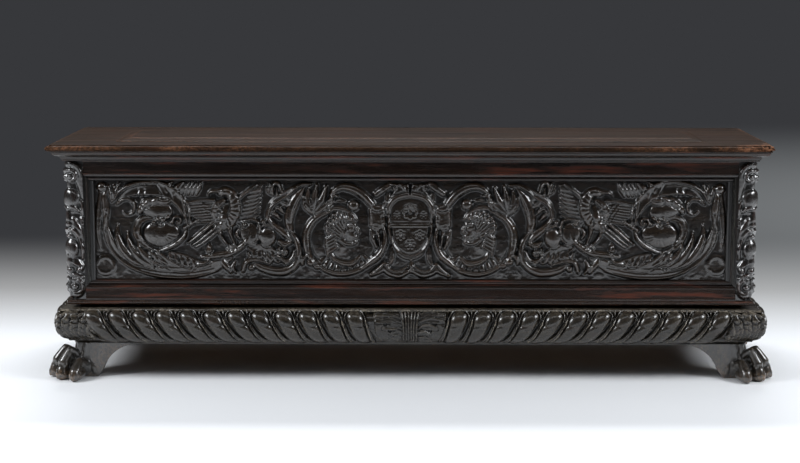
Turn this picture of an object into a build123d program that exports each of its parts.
"""Cassone: a carved walnut marriage chest on four lion paws, with a hinged lid and a lock.

Millimetres. +Z up, the carved front faces -Y, and the origin is on the floor under the middle
of the box that holds the chest. Mouldings are drawn as sections in (o, z): o is how far a point
stands out from the framing plane, which is the same plane all round, so corners mitre at 45 degrees.
"""
from build123d import *
from math import cos, radians, sin
import os

os.makedirs("parts", exist_ok=True)

# ---- driving dimensions ----
HALF_FRAME = 850.0      # framing plane of the ends, from the middle
FRONT_FRAME = 224.0     # framing plane of the front, from the middle
BACK = 258.0            # outer face of the back
BASE_BOTTOM = 85.0
BASE_TOP = 180.0
CARCASE_TOP = 550.0
LID_GAP = 0.5           # daylight between the closed lid and the carcase
LID_UNDER = 568.0       # underside of the lid board
LID_TOP = 586.0
FIELD_TOP = 598.0       # top of the raised field of the lid

# ---- boards ----
GROUND = 18.0           # the carved ground lies this far behind the framing plane
FRONT_THICK = 30.0
END_THICK = 28.0
BACK_THICK = 22.0
FLOOR_THICK = 18.0
RELIEF = 14.0           # how far the carving's main masses stand off the ground

# ---- main masses of the carving ----
ROUNDEL = (173.0, 371.0, 96.0)      # x, z and outer radius of each small ring
SCROLL = (640.0, 376.0, 112.0)      # the same for each large ring
RING_BAND = 12.0
SHIELD_Z = 382.0
SHIELD_WIDTH = 112.0
SHIELD_HEIGHT = 150.0
SHIELD_ROUND = 40.0

# ---- heights on the front ----
BEAD_TOP = 200.0
RAIL_TOP = 233.0
FRIEZE_LOW = 515.0
SHADOW_LOW = 189.0      # the bead starts here, over the shadow line

# ---- corner masks ----
MASK_INNER = 811.0      # the mask's inner edge on the front
MASK_OUTER = 866.0
MASK_REACH = 240.0
MASK_BACK = 185.0       # the mask's rear edge on the end
MASK_SHOULDER = 4.0     # the mask stands this far off the framing plane at its edges
MASK_CHAMFER = 12.0

# ---- lid ----
LID_REACH = 42.0        # the rim stands out this far from the framing plane
NOSING = 7.75           # radius of the rim's round
NOSING_STEP = 3.0
FIELD_HALF = 737.0
FIELD_FRONT = -100.0
FIELD_BACK = 98.0
FIELD_STEP = 3.0
FIELD_SET = 2.0         # the field's slope starts this far in from its upright edge
RING_INNER = -24.0      # inner edge of the mouldings under the lid

# ---- feet ----
ANKLE_X = 811.0
ANKLE_Y = 181.0
ANKLE_SIZE = 60.0
INSTEP_Z = 44.0         # height at which the toes spring from the ankle
TOE_R = 22.0
TOE_REACH = 85.0
TOE_ANGLES = (0.0, 30.0, 60.0, 90.0)
TOE_CENTRE_Z = 20.0     # just under the toe's radius, so each toe has a flat sole
WING_THICK = 25.0
WING_REACH = 88.0
WING_FOOT = 12.0
WING_BOW_REACH = 24.0   # a point on the wing's hollow: this far from the ankle,
WING_BOW_Z = 56.0       # and this high

# ---- hinges ----
HINGE_X = 550.0
HINGE_Y = 264.5
HINGE_Z = 548.0
KNUCKLE_R = 6.0
KNUCKLE_COUNT = 5
KNUCKLE_LENGTH = 11.6
KNUCKLE_PITCH = 12.1
PIN_R = 3.0
PIN_CLEARANCE = 0.05
PLATE = 2.5
LEAF_WIDTH = 110.0
STRAP_WIDTH = 46.0
STRAP_LENGTH = 220.0

# ---- lock ----
LOCK_PLATE_THICK = 2.0
CASE_LEFT = -50.0
CASE_RIGHT = 60.0
CASE_LOW = 445.0
CASE_HIGH = 525.0
CASE_DEPTH = 22.0
CASE_WALL = 1.5
STAPLE_X = 25.0
STAPLE_LOW = 494.0
BOLT_Z = 507.0
BOLT_LENGTH = 46.0
BOLT_HEIGHT = 10.0
BOLT_THICK = 5.0
BOLT_Y = -165.0
BOLT_TRAVEL = 14.0
KEYHOLE_Z = 487.0
KEYHOLE_R = 5.0
KEYHOLE_SLOT = 6.0
KEYHOLE_LOW = 466.0

SIDES = (("left", -1), ("right", 1))
ENDS = (("front", -1), ("back", 1))
LONG = 2200.0           # longer than the chest, for stock that is cut to its mitres

ground_y = -FRONT_FRAME + GROUND
board_back = ground_y + FRONT_THICK
end_outer = HALF_FRAME - GROUND
end_inner = end_outer - END_THICK
back_inner = BACK - BACK_THICK


def save(builder, name):
    """Label a finished piece and write its file."""
    builder.part.label = name
    export_step(builder.part, f"parts/{name}.step")


def end_plane(sign, y):
    """Plane across the end of the chest at a depth y: x points outwards, y points up."""
    return Plane(origin=(sign * HALF_FRAME, y, 0), x_dir=(sign, 0, 0), z_dir=(0, -sign, 0))


def front_plane():
    """Plane across the front in the middle of its length: x points outwards, y points up."""
    return Plane(origin=(0, -FRONT_FRAME, 0), x_dir=(0, -1, 0), z_dir=(-1, 0, 0))


def mitre_plane(sign):
    """Upright plane through a front corner; its upper side holds the end's pieces."""
    return Plane(origin=(sign * HALF_FRAME, -FRONT_FRAME, 0), z_dir=(sign, 1, 0))


def ogee(start, end, swell):
    """Two arcs that meet halfway: the first bows one way, the second the other."""
    middle = ((start[0] + end[0]) / 2, (start[1] + end[1]) / 2)
    SagittaArc(start, middle, swell)
    SagittaArc(middle, end, -swell)


def closed_section(inner, low, high, face):
    """Close a section: straight along the bottom, back and top, with face() drawing the front."""
    with BuildLine() as outline:
        first, last = face()
        Polyline(last, (inner, high), (inner, low), first)
    make_face(outline.edges())


# ---- the faces of the mouldings, drawn upwards in (o, z); each returns its two ends ----

def lid_ogee_face():
    """Moulding under the lid: a fillet, then an ogee that spreads to the rim."""
    low = CARCASE_TOP + LID_GAP
    Polyline((8, low), (8, low + 3), (11, low + 3))
    ogee((11, low + 3), (35, LID_UNDER - 2), 2.2)
    Polyline((35, LID_UNDER - 2), (38, LID_UNDER - 2), (38, LID_UNDER))
    return (8, low), (38, LID_UNDER)


def frieze_face():
    """Frieze: flat below, hollowing out to a fillet under the lid."""
    Line((0, FRIEZE_LOW), (0, FRIEZE_LOW + 8))
    SagittaArc((0, FRIEZE_LOW + 8), (7, CARCASE_TOP - 5), 3.0)
    Polyline((7, CARCASE_TOP - 5), (8, CARCASE_TOP - 5), (8, CARCASE_TOP))
    return (0, FRIEZE_LOW), (8, CARCASE_TOP)


def lower_rail_face():
    """Lower rail: a flat band that spreads a little towards the bead."""
    Line((3, BEAD_TOP), (0, RAIL_TOP))
    return (3, BEAD_TOP), (0, RAIL_TOP)


def bead_face():
    """Bead over the shadow line: a half round."""
    ThreePointArc((1.5, SHADOW_LOW), (7, (SHADOW_LOW + BEAD_TOP) / 2), (1.5, BEAD_TOP))
    return (1.5, SHADOW_LOW), (1.5, BEAD_TOP)


def base_face():
    """Base: a swelling cushion that is fullest above its middle, with a neck over it."""
    Line((-12, BASE_BOTTOM), (-12, BASE_BOTTOM + 5))
    SagittaArc((-12, BASE_BOTTOM + 5), (12, 98), -3.0)
    SagittaArc((12, 98), (40, 145), -9.0)
    SagittaArc((40, 145), (20, 176), -8.0)
    Line((20, 176), (20, BASE_TOP))
    return (-12, BASE_BOTTOM), (20, BASE_TOP)


def mitred_front(inner, low, high, face):
    """Front length of a moulding, cut to its mitres."""
    with BuildPart() as length:
        with BuildSketch(front_plane()):
            closed_section(inner, low, high, face)
        extrude(amount=LONG / 2, both=True)
        for _, sign in SIDES:
            split(bisect_by=mitre_plane(sign), keep=Keep.BOTTOM)
    return length


def straight_front(inner, low, high, face):
    """Front length of a moulding that stops square against the masks."""
    with BuildPart() as length:
        with BuildSketch(front_plane()):
            closed_section(inner, low, high, face)
        extrude(amount=MASK_INNER, both=True)
    return length


def end_length(sign, inner, low, high, face, mitred):
    """End length of a moulding: from its mitre, or from the mask, to the back."""
    with BuildPart() as length:
        with BuildSketch(end_plane(sign, BACK)):
            closed_section(inner, low, high, face)
        extrude(amount=sign * (BACK + (LONG / 2 if mitred else MASK_BACK)))
        if mitred:
            split(bisect_by=mitre_plane(sign), keep=Keep.TOP)
    return length


def frame_member(middle, outward, facing, half_run):
    """One mitred length of a panel's frame: bead, slope and fillet, outwards from the panel."""
    run = Vector(outward).cross(Vector(facing))
    with BuildPart() as member:
        with BuildSketch(Plane(origin=middle, x_dir=outward, z_dir=run)):
            with BuildLine():
                Line((0, 0), (0, 8))
                ThreePointArc((0, 8), (2, 10), (4, 8))
                Polyline((4, 8), (11, 14), (11, GROUND), (16, GROUND), (16, 0), (0, 0))
            make_face()
        extrude(amount=half_run + 20, both=True)
        for end in (-1, 1):
            corner = Vector(middle) + run * (end * half_run)
            split(bisect_by=Plane(origin=corner, z_dir=run * end - Vector(outward)), keep=Keep.BOTTOM)
    return member


def keyhole():
    """Keyhole as the front sees it, drawn on a plane whose x is X and whose y is Z."""
    with Locations((0, KEYHOLE_Z)):
        Circle(KEYHOLE_R)
    with Locations((0, (KEYHOLE_LOW + KEYHOLE_Z) / 2)):
        Rectangle(KEYHOLE_SLOT, KEYHOLE_Z - KEYHOLE_LOW)


# ---- boards of the carcase ----

with BuildPart() as front_board:
    with Locations((0, board_back, BASE_TOP)):
        Box(2 * end_outer, FRONT_THICK, CARCASE_TOP - BASE_TOP, align=(Align.CENTER, Align.MAX, Align.MIN))
    with BuildSketch(Plane.XZ.offset(-ground_y)):
        for _, sign in SIDES:
            for ring_x, ring_z, ring_r in (ROUNDEL, SCROLL):
                with Locations((sign * ring_x, ring_z)):
                    Circle(ring_r)
                    Circle(ring_r - RING_BAND, mode=Mode.SUBTRACT)
        with Locations((0, SHIELD_Z)):
            RectangleRounded(SHIELD_WIDTH, SHIELD_HEIGHT, SHIELD_ROUND)
    extrude(amount=RELIEF)
    with BuildSketch(Plane.XZ.offset(-ground_y)):
        keyhole()
    extrude(amount=-FRONT_THICK, mode=Mode.SUBTRACT)
save(front_board, "front_board")

TAIL_COUNT = 4
TAIL_NARROW = 34.0
TAIL_WIDE = 46.0
tail_pitch = (CARCASE_TOP - BASE_TOP) / TAIL_COUNT
tail_heights = [BASE_TOP + tail_pitch * (i + 0.5) for i in range(TAIL_COUNT)]

with BuildPart() as tails:
    with BuildSketch(Plane.YZ.offset(-end_outer)):
        for height in tail_heights:
            with BuildLine():
                Polyline((back_inner, height - TAIL_NARROW / 2), (BACK, height - TAIL_WIDE / 2),
                         (BACK, height + TAIL_WIDE / 2), (back_inner, height + TAIL_NARROW / 2), close=True)
            make_face()
    extrude(amount=END_THICK)

for side, sign in SIDES:
    with BuildPart() as end_board:
        with Locations((sign * end_outer, board_back, BASE_TOP)):
            Box(END_THICK, back_inner - board_back, CARCASE_TOP - BASE_TOP,
                align=(Align.MIN if sign < 0 else Align.MAX, Align.MIN, Align.MIN))
        add(tails.part if sign < 0 else tails.part.mirror(Plane.YZ))
    save(end_board, f"end_board_{side}")

with BuildPart() as back_board:
    with Locations((0, BACK, BASE_TOP)):
        Box(2 * end_outer, BACK_THICK, CARCASE_TOP - BASE_TOP, align=(Align.CENTER, Align.MAX, Align.MIN))
    add(tails.part, mode=Mode.SUBTRACT)
    add(tails.part.mirror(Plane.YZ), mode=Mode.SUBTRACT)
save(back_board, "back_board")

floor_middle = (board_back + back_inner) / 2
floor_half = (back_inner - board_back) / 2
for end, sign in ENDS:
    with BuildPart() as floor_board:
        with Locations((0, floor_middle, BASE_TOP)):
            Box(2 * end_inner, floor_half, FLOOR_THICK,
                align=(Align.CENTER, Align.MAX if sign < 0 else Align.MIN, Align.MIN))
    save(floor_board, f"floor_board_{end}")

# ---- mouldings of the carcase ----

save(straight_front(-GROUND, FRIEZE_LOW, CARCASE_TOP, frieze_face), "frieze_front")
save(straight_front(-GROUND, BEAD_TOP, RAIL_TOP, lower_rail_face), "lower_rail_front")
save(mitred_front(-GROUND, SHADOW_LOW, BEAD_TOP, bead_face), "plinth_bead_front")
for side, sign in SIDES:
    save(end_length(sign, -GROUND, FRIEZE_LOW, CARCASE_TOP, frieze_face, False), f"frieze_{side}")
    save(end_length(sign, -GROUND, BEAD_TOP, RAIL_TOP, lower_rail_face, False), f"lower_rail_{side}")
    save(end_length(sign, -GROUND, SHADOW_LOW, BEAD_TOP, bead_face, True), f"plinth_bead_{side}")

FRAME_WIDTH = 16.0
panel_half = MASK_INNER - FRAME_WIDTH
panel_low = RAIL_TOP + FRAME_WIDTH
panel_high = FRIEZE_LOW - FRAME_WIDTH
panel_mid = (panel_low + panel_high) / 2
panel_half_height = (panel_high - panel_low) / 2
front_facing = (0, -1, 0)
save(frame_member((0, ground_y, panel_high), (0, 0, 1), front_facing, panel_half), "panel_moulding_top")
save(frame_member((0, ground_y, panel_low), (0, 0, -1), front_facing, panel_half), "panel_moulding_bottom")
for side, sign in SIDES:
    member = frame_member((sign * panel_half, ground_y, panel_mid), (sign, 0, 0), front_facing,
                          panel_half_height)
    save(member, f"panel_moulding_{side}")

end_panel_front = -MASK_BACK + FRAME_WIDTH
end_panel_back = BACK - FRAME_WIDTH
end_panel_mid = (end_panel_front + end_panel_back) / 2
end_panel_half = (end_panel_back - end_panel_front) / 2
for side, sign in SIDES:
    facing = (sign, 0, 0)
    x = sign * end_outer
    members = [
        frame_member((x, end_panel_mid, panel_high), (0, 0, 1), facing, end_panel_half),
        frame_member((x, end_panel_mid, panel_low), (0, 0, -1), facing, end_panel_half),
        frame_member((x, end_panel_front, panel_mid), (0, -1, 0), facing, panel_half_height),
        frame_member((x, end_panel_back, panel_mid), (0, 1, 0), facing, panel_half_height),
    ]
    with BuildPart() as end_moulding:
        for member in members:
            add(member.part)
    save(end_moulding, f"end_moulding_{side}")

# ---- corner masks: one block each, wrapped round the front corner ----

for side, sign in SIDES:
    with BuildPart() as corner_mask:
        with BuildSketch(Plane.XY.offset(BEAD_TOP)):
            with BuildLine():
                Polyline((sign * MASK_INNER, ground_y),
                         (sign * MASK_INNER, -FRONT_FRAME - MASK_SHOULDER),
                         (sign * (MASK_INNER + MASK_CHAMFER), -MASK_REACH),
                         (sign * (MASK_OUTER - MASK_CHAMFER), -MASK_REACH),
                         (sign * MASK_OUTER, -FRONT_FRAME - MASK_SHOULDER),
                         (sign * MASK_OUTER, -MASK_BACK - MASK_CHAMFER),
                         (sign * (MASK_OUTER - MASK_CHAMFER), -MASK_BACK),
                         (sign * end_outer, -MASK_BACK),
                         (sign * end_outer, ground_y), close=True)
            make_face()
        extrude(amount=CARCASE_TOP - BEAD_TOP)
    save(corner_mask, f"corner_mask_{side}")

# ---- base ----

BASE_INNER = -44.0      # inner face of the base mouldings
base_inner_x = HALF_FRAME + BASE_INNER
base_inner_y = FRONT_FRAME + BASE_INNER
save(mitred_front(BASE_INNER, BASE_BOTTOM, BASE_TOP, base_face), "base_front")
for side, sign in SIDES:
    save(end_length(sign, BASE_INNER, BASE_BOTTOM, BASE_TOP, base_face, True), f"base_{side}")

with BuildPart() as base_back:
    with Locations((0, BACK, BASE_BOTTOM)):
        Box(2 * base_inner_x, BACK_THICK, BASE_TOP - BASE_BOTTOM, align=(Align.CENTER, Align.MAX, Align.MIN))
save(base_back, "base_back")

CORNER_BLOCK = 80.0
with BuildPart() as corner_blocks:
    for _, x_sign in SIDES:
        for y_edge, y_align in ((-base_inner_y, Align.MIN), (back_inner, Align.MAX)):
            with Locations((x_sign * base_inner_x, y_edge, BASE_BOTTOM)):
                Box(CORNER_BLOCK, CORNER_BLOCK, BASE_TOP - BASE_BOTTOM,
                    align=(Align.MIN if x_sign < 0 else Align.MAX, y_align, Align.MIN))
save(corner_blocks, "corner_blocks")

BATTEN_WIDTH = 45.0
FLOOR_BATTEN_DEEP = 28.0
FLOOR_BATTEN_X = (-500, 0, 500)
with BuildPart() as floor_battens:
    for x in FLOOR_BATTEN_X:
        with Locations((x, -base_inner_y, BASE_TOP)):
            Box(BATTEN_WIDTH, back_inner + base_inner_y, FLOOR_BATTEN_DEEP,
                align=(Align.CENTER, Align.MIN, Align.MAX))
save(floor_battens, "floor_battens")

# ---- feet ----

for side, x_sign in SIDES:
    for end, y_sign in ENDS:
        with BuildPart() as paw:
            with Locations((x_sign * ANKLE_X, y_sign * ANKLE_Y, 0)):
                Box(ANKLE_SIZE, ANKLE_SIZE, BASE_BOTTOM, align=(Align.CENTER, Align.CENTER, Align.MIN))
            for angle in TOE_ANGLES:
                reach_x = x_sign * cos(radians(angle))
                reach_y = y_sign * sin(radians(angle))
                tip = Vector(x_sign * ANKLE_X + TOE_REACH * reach_x, y_sign * ANKLE_Y + TOE_REACH * reach_y,
                             TOE_CENTRE_Z)
                heel = Vector(x_sign * ANKLE_X, y_sign * ANKLE_Y, INSTEP_Z)
                with Locations(tip):
                    Sphere(TOE_R)
                with BuildSketch(Plane(origin=tip, z_dir=heel - tip)):
                    Circle(TOE_R)
                extrude(amount=(heel - tip).length)
            split(bisect_by=Plane.XY, keep=Keep.TOP)
        save(paw, f"paw_{end}_{side}")

        with BuildPart() as side_wing:
            inner = y_sign * (ANKLE_Y - ANKLE_SIZE / 2)
            with BuildSketch(Plane.YZ.offset(x_sign * (ANKLE_X + ANKLE_SIZE / 2))):
                with BuildLine():
                    Polyline((inner - y_sign * WING_REACH, BASE_BOTTOM), (inner, BASE_BOTTOM), (inner, WING_FOOT))
                    ThreePointArc((inner, WING_FOOT), (inner - y_sign * WING_BOW_REACH, WING_BOW_Z),
                                  (inner - y_sign * WING_REACH, BASE_BOTTOM))
                make_face()
            extrude(amount=-x_sign * WING_THICK)
        save(side_wing, f"side_wing_{end}_{side}")

    with BuildPart() as front_wing:
        inner = x_sign * (ANKLE_X - ANKLE_SIZE / 2)
        with BuildSketch(Plane.XZ.offset(ANKLE_Y + ANKLE_SIZE / 2)):
            with BuildLine():
                Polyline((inner - x_sign * WING_REACH, BASE_BOTTOM), (inner, BASE_BOTTOM), (inner, WING_FOOT))
                ThreePointArc((inner, WING_FOOT), (inner - x_sign * WING_BOW_REACH, WING_BOW_Z),
                              (inner - x_sign * WING_REACH, BASE_BOTTOM))
            make_face()
        extrude(amount=-WING_THICK)
    save(front_wing, f"front_wing_{side}")

# ---- lid ----


def rim_outline(edge):
    """Rim of the lid in section, from below: the round nosing out to edge, and the step over it."""
    centre = edge - NOSING
    Line((0, LID_UNDER), (centre, LID_UNDER))
    ThreePointArc((centre, LID_UNDER), (edge, LID_UNDER + NOSING), (centre, LID_UNDER + 2 * NOSING))
    Polyline((centre, LID_UNDER + 2 * NOSING), (centre - NOSING_STEP, LID_UNDER + 2 * NOSING),
             (centre - NOSING_STEP, LID_TOP), (0, LID_TOP))


with BuildPart() as lid_board:
    with BuildSketch(front_plane()):
        with BuildLine():
            rim_outline(LID_REACH)
            Polyline((0, LID_TOP), (-FRONT_FRAME - BACK, LID_TOP), (-FRONT_FRAME - BACK, LID_UNDER),
                     (0, LID_UNDER))
        make_face()
    extrude(amount=LONG / 2, both=True)
    with BuildSketch(Plane.XZ):
        with BuildLine():
            rim_outline(HALF_FRAME + LID_REACH)
            mirror(about=Plane.YZ)
        make_face()
    extrude(amount=LONG / 2, both=True, mode=Mode.INTERSECT)
save(lid_board, "lid_board")

with BuildPart() as lid_field:
    field_middle = (0, (FIELD_FRONT + FIELD_BACK) / 2)
    with BuildSketch(Plane.XY.offset(LID_TOP)):
        with Locations(field_middle):
            Rectangle(2 * FIELD_HALF, FIELD_BACK - FIELD_FRONT)
    extrude(amount=FIELD_STEP)
    with BuildSketch(Plane.XY.offset(LID_TOP + FIELD_STEP)):
        with Locations(field_middle):
            Rectangle(2 * (FIELD_HALF - FIELD_SET), FIELD_BACK - FIELD_FRONT - 2 * FIELD_SET)
    extrude(amount=FIELD_TOP - LID_TOP - FIELD_STEP, taper=45)
save(lid_field, "lid_field")

lid_low = CARCASE_TOP + LID_GAP
save(mitred_front(RING_INNER, lid_low, LID_UNDER, lid_ogee_face), "lid_moulding_front")
for side, sign in SIDES:
    save(end_length(sign, RING_INNER, lid_low, LID_UNDER, lid_ogee_face, True), f"lid_moulding_{side}")

with BuildPart() as lid_back_rail:
    with Locations((0, BACK, lid_low)):
        Box(2 * (HALF_FRAME + RING_INNER), BACK_THICK, LID_UNDER - lid_low,
            align=(Align.CENTER, Align.MAX, Align.MIN))
save(lid_back_rail, "lid_back_rail")

LID_BATTEN_X = 700.0
LID_BATTEN_FRONT = -165.0
LID_BATTEN_BACK = 225.0
LID_BATTEN_DEEP = 24.0
LID_BATTEN_CHAMFER = 5.0
for side, sign in SIDES:
    with BuildPart() as lid_batten:
        with Locations((sign * LID_BATTEN_X, LID_BATTEN_FRONT, LID_UNDER)):
            Box(BATTEN_WIDTH, LID_BATTEN_BACK - LID_BATTEN_FRONT, LID_BATTEN_DEEP,
                align=(Align.CENTER, Align.MIN, Align.MAX))
        chamfer(lid_batten.edges().group_by(Axis.Z)[0].filter_by(Axis.Y), length=LID_BATTEN_CHAMFER)
    save(lid_batten, f"lid_batten_{side}")

# ---- nails: one wrought nail, head on the XY plane, shank downwards ----

NAIL_HEAD_R = 5.0
NAIL_HEAD_H = 2.2
NAIL_POLL_R = 1.5       # small flat on top of the head
NAIL_SHANK_R = 1.6
NAIL_LENGTH = 15.0
with BuildPart() as nail:
    Cone(NAIL_HEAD_R, NAIL_POLL_R, NAIL_HEAD_H, align=(Align.CENTER, Align.CENTER, Align.MIN))
    Cylinder(NAIL_SHANK_R, NAIL_LENGTH, align=(Align.CENTER, Align.CENTER, Align.MAX))


def nail_places(points, y):
    """Places for nails driven forwards from a plane at depth y; points are (x, z)."""
    return [Plane(origin=(x, y, z), x_dir=(1, 0, 0), z_dir=(0, 1, 0)).location for x, z in points]


def knuckles(x, numbers):
    """The knuckles of one leaf, in line on the hinge's axis."""
    first = x - KNUCKLE_PITCH * (KNUCKLE_COUNT - 1) / 2
    for number in numbers:
        with Locations(Location((first + number * KNUCKLE_PITCH, HINGE_Y, HINGE_Z), (0, 90, 0))):
            Cylinder(KNUCKLE_R, KNUCKLE_LENGTH)


def knuckle_tabs(x, numbers, reach):
    """Short tabs that carry the knuckles from the leaf's plate."""
    first = x - KNUCKLE_PITCH * (KNUCKLE_COUNT - 1) / 2
    for number in numbers:
        with Locations((first + number * KNUCKLE_PITCH, BACK + 0.5, HINGE_Z + reach / 2)):
            Box(KNUCKLE_LENGTH, PLATE, abs(reach), align=(Align.CENTER, Align.MIN, Align.CENTER))


def pin_bore(x):
    """The bore through every knuckle, with running clearance for the pin."""
    with Locations(Location((x, HINGE_Y, HINGE_Z), (0, 90, 0))):
        Cylinder(PIN_R + PIN_CLEARANCE, KNUCKLE_PITCH * (KNUCKLE_COUNT + 1), mode=Mode.SUBTRACT)


LEAF_LOW = 555.0
LEAF_HIGH = 583.0
STRAP_TOP = 541.0
TAB_REACH = 9.0
FINIAL_R = 26.0
FINIAL_NECK = 9.0       # half the strap's width where it meets the finial
FINIAL_OVERLAP = 45.0
PIN_HEAD_R = 4.4
PIN_HEAD = 2.0
leaf_mid = (LEAF_LOW + LEAF_HIGH) / 2
leaf_nail_z = LID_UNDER + 8
leaf_nail_points = [(sign * HINGE_X + dx, leaf_nail_z) for _, sign in SIDES for dx in (-44, -22, 22, 44)]
strap_nail_points = [(sign * HINGE_X, STRAP_TOP - dz) for _, sign in SIDES for dz in (18, 75, 132, 190)]

for side, sign in SIDES:
    x = sign * HINGE_X
    with BuildPart() as lid_leaf:
        with BuildSketch(Plane.XZ.offset(-BACK)):
            with Locations((x, leaf_mid)):
                RectangleRounded(LEAF_WIDTH, LEAF_HIGH - LEAF_LOW, 8)
            with Locations(*[(px, pz) for px, pz in leaf_nail_points if px * sign > 0]):
                Circle(NAIL_SHANK_R, mode=Mode.SUBTRACT)
        extrude(amount=-PLATE)
        knuckles(x, (1, 3))
        knuckle_tabs(x, (1, 3), TAB_REACH)
        pin_bore(x)
    save(lid_leaf, f"lid_leaf_{side}")

    with BuildPart() as back_strap:
        with BuildSketch(Plane.XZ.offset(-BACK)):
            with BuildLine():
                Polyline((x - STRAP_WIDTH / 2, STRAP_TOP), (x + STRAP_WIDTH / 2, STRAP_TOP),
                         (x + FINIAL_NECK, STRAP_TOP - STRAP_LENGTH + FINIAL_OVERLAP),
                         (x - FINIAL_NECK, STRAP_TOP - STRAP_LENGTH + FINIAL_OVERLAP), close=True)
            make_face()
            with Locations((x, STRAP_TOP - STRAP_LENGTH + FINIAL_R)):
                Circle(FINIAL_R)
            with Locations(*[(px, pz) for px, pz in strap_nail_points if px * sign > 0]):
                Circle(NAIL_SHANK_R, mode=Mode.SUBTRACT)
        extrude(amount=-PLATE)
        knuckles(x, (0, 2, 4))
        knuckle_tabs(x, (0, 2, 4), -TAB_REACH)
        pin_bore(x)
    save(back_strap, f"back_strap_{side}")

    with BuildPart() as hinge_pin:
        pin_length = KNUCKLE_PITCH * KNUCKLE_COUNT + PIN_HEAD
        with Locations(Location((x, HINGE_Y, HINGE_Z), (0, 90, 0))):
            Cylinder(PIN_R, pin_length)
        for end in (-1, 1):
            with Locations(Location((x + end * (pin_length + PIN_HEAD) / 2, HINGE_Y, HINGE_Z), (0, 90, 0))):
                Cylinder(PIN_HEAD_R, PIN_HEAD)
    save(hinge_pin, f"hinge_pin_{side}")

with BuildPart() as lid_leaf_nails:
    with Locations(*nail_places(leaf_nail_points, BACK + PLATE)):
        add(nail.part)
save(lid_leaf_nails, "lid_leaf_nails")

with BuildPart() as back_strap_nails:
    with Locations(*nail_places(strap_nail_points, BACK + PLATE)):
        add(nail.part)
save(back_strap_nails, "back_strap_nails")

# ---- lock: plate, case and bolt behind the front board, staple under the lid ----

plate_back = board_back + LOCK_PLATE_THICK
PLATE_MARGIN = 14.0
LOCK_NAIL_INSET = 10.0
lock_nail_points = [(x, z) for x in (CASE_LEFT - PLATE_MARGIN / 2, CASE_RIGHT + PLATE_MARGIN / 2)
                    for z in (CASE_LOW + LOCK_NAIL_INSET, CASE_HIGH - LOCK_NAIL_INSET)]

with BuildPart() as lock_plate:
    with BuildSketch(Plane.XZ.offset(-board_back)):
        with Locations(((CASE_LEFT + CASE_RIGHT) / 2, (CASE_LOW + CASE_HIGH) / 2)):
            RectangleRounded(CASE_RIGHT - CASE_LEFT + 2 * PLATE_MARGIN, CASE_HIGH - CASE_LOW + 6, 8)
        with Locations(*lock_nail_points):
            Circle(NAIL_SHANK_R, mode=Mode.SUBTRACT)
    extrude(amount=-LOCK_PLATE_THICK)
    with BuildSketch(Plane.XZ.offset(-board_back)):
        keyhole()
    extrude(amount=-LOCK_PLATE_THICK, mode=Mode.SUBTRACT)
save(lock_plate, "lock_plate")

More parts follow.
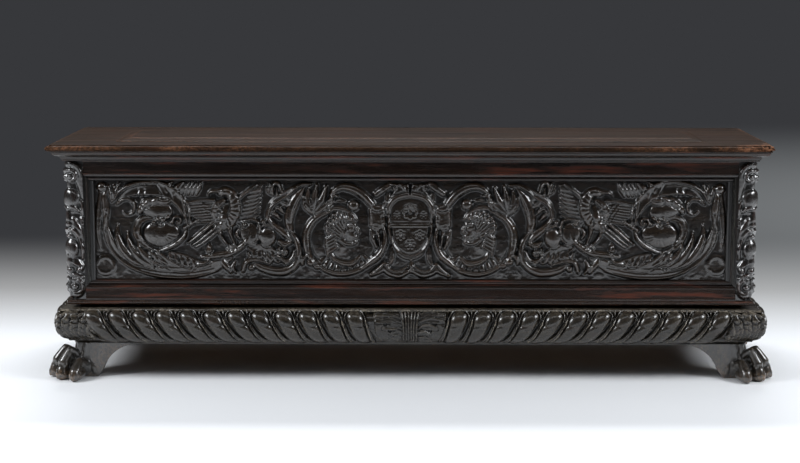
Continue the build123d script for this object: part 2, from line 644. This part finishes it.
GUIDE_X = (-22.0, 10.0)
GUIDE_THICK = 4.0
GUIDE_HEIGHT = 20.0
RUNNING = 0.5           # clearance of the bolt in its guides
STAPLE_SLOT = 14.0      # length of the case's slot for the staple
with BuildPart() as lock_case:
    case_middle = (CASE_LEFT + CASE_RIGHT) / 2
    with Locations((case_middle, plate_back, CASE_LOW)):
        Box(CASE_RIGHT - CASE_LEFT, CASE_DEPTH, CASE_HIGH - CASE_LOW, align=(Align.CENTER, Align.MIN, Align.MIN))
    with Locations((case_middle, plate_back, CASE_LOW + CASE_WALL)):
        Box(CASE_RIGHT - CASE_LEFT - 2 * CASE_WALL, CASE_DEPTH - CASE_WALL, CASE_HIGH - CASE_LOW - 2 * CASE_WALL,
            align=(Align.CENTER, Align.MIN, Align.MIN), mode=Mode.SUBTRACT)
    for x in GUIDE_X:
        with Locations((x, plate_back, BOLT_Z)):
            Box(GUIDE_THICK, CASE_DEPTH, GUIDE_HEIGHT, align=(Align.CENTER, Align.MIN, Align.CENTER))
    with Locations((case_middle, BOLT_Y, BOLT_Z)):
        Box(CASE_RIGHT - CASE_LEFT - 2 * CASE_WALL, BOLT_THICK + 2 * RUNNING, BOLT_HEIGHT + 2 * RUNNING,
            mode=Mode.SUBTRACT)
    with Locations((STAPLE_X, plate_back, CASE_HIGH)):
        Box(STAPLE_SLOT, CASE_DEPTH - 4, 3 * CASE_WALL, align=(Align.CENTER, Align.MIN, Align.CENTER),
            mode=Mode.SUBTRACT)
save(lock_case, "lock_case")

with BuildPart() as lock_plate_nails:
    with Locations(*nail_places(lock_nail_points, plate_back)):
        add(nail.part)
save(lock_plate_nails, "lock_plate_nails")

BOLT_TIP_X = 16.0       # drawn back, the bolt's tip clears the staple
TALON_WIDE = 10.0       # the talon that the key's bit pushes
TALON_DEEP = 8.0
talon_right = GUIDE_X[1] - GUIDE_THICK / 2 - BOLT_TRAVEL - 2 * RUNNING
with BuildPart() as lock_bolt:
    with Locations((BOLT_TIP_X, BOLT_Y, BOLT_Z)):
        Box(BOLT_LENGTH, BOLT_THICK, BOLT_HEIGHT, align=(Align.MAX, Align.CENTER, Align.CENTER))
    with Locations((talon_right, BOLT_Y, BOLT_Z - BOLT_HEIGHT / 2)):
        Box(TALON_WIDE, BOLT_THICK, TALON_DEEP, align=(Align.MAX, Align.CENTER, Align.MAX))
save(lock_bolt, "lock_bolt")

STAPLE_WIDTH = 12.0
STAPLE_THICK = 6.0
EYE_WIDTH = 7.0
EYE_HEIGHT = 14.0
STAPLE_FOOT = (50.0, 26.0, 3.0)     # plate that holds the staple under the lid
with BuildPart() as lock_staple:
    with Locations((STAPLE_X, BOLT_Y, LID_UNDER)):
        Box(STAPLE_THICK, STAPLE_WIDTH, LID_UNDER - STAPLE_LOW, align=(Align.CENTER, Align.CENTER, Align.MAX))
        Box(*STAPLE_FOOT, align=(Align.CENTER, Align.CENTER, Align.MAX))
    with Locations((STAPLE_X, BOLT_Y, BOLT_Z)):
        Box(STAPLE_THICK, EYE_WIDTH, EYE_HEIGHT, mode=Mode.SUBTRACT)
save(lock_staple, "lock_staple")
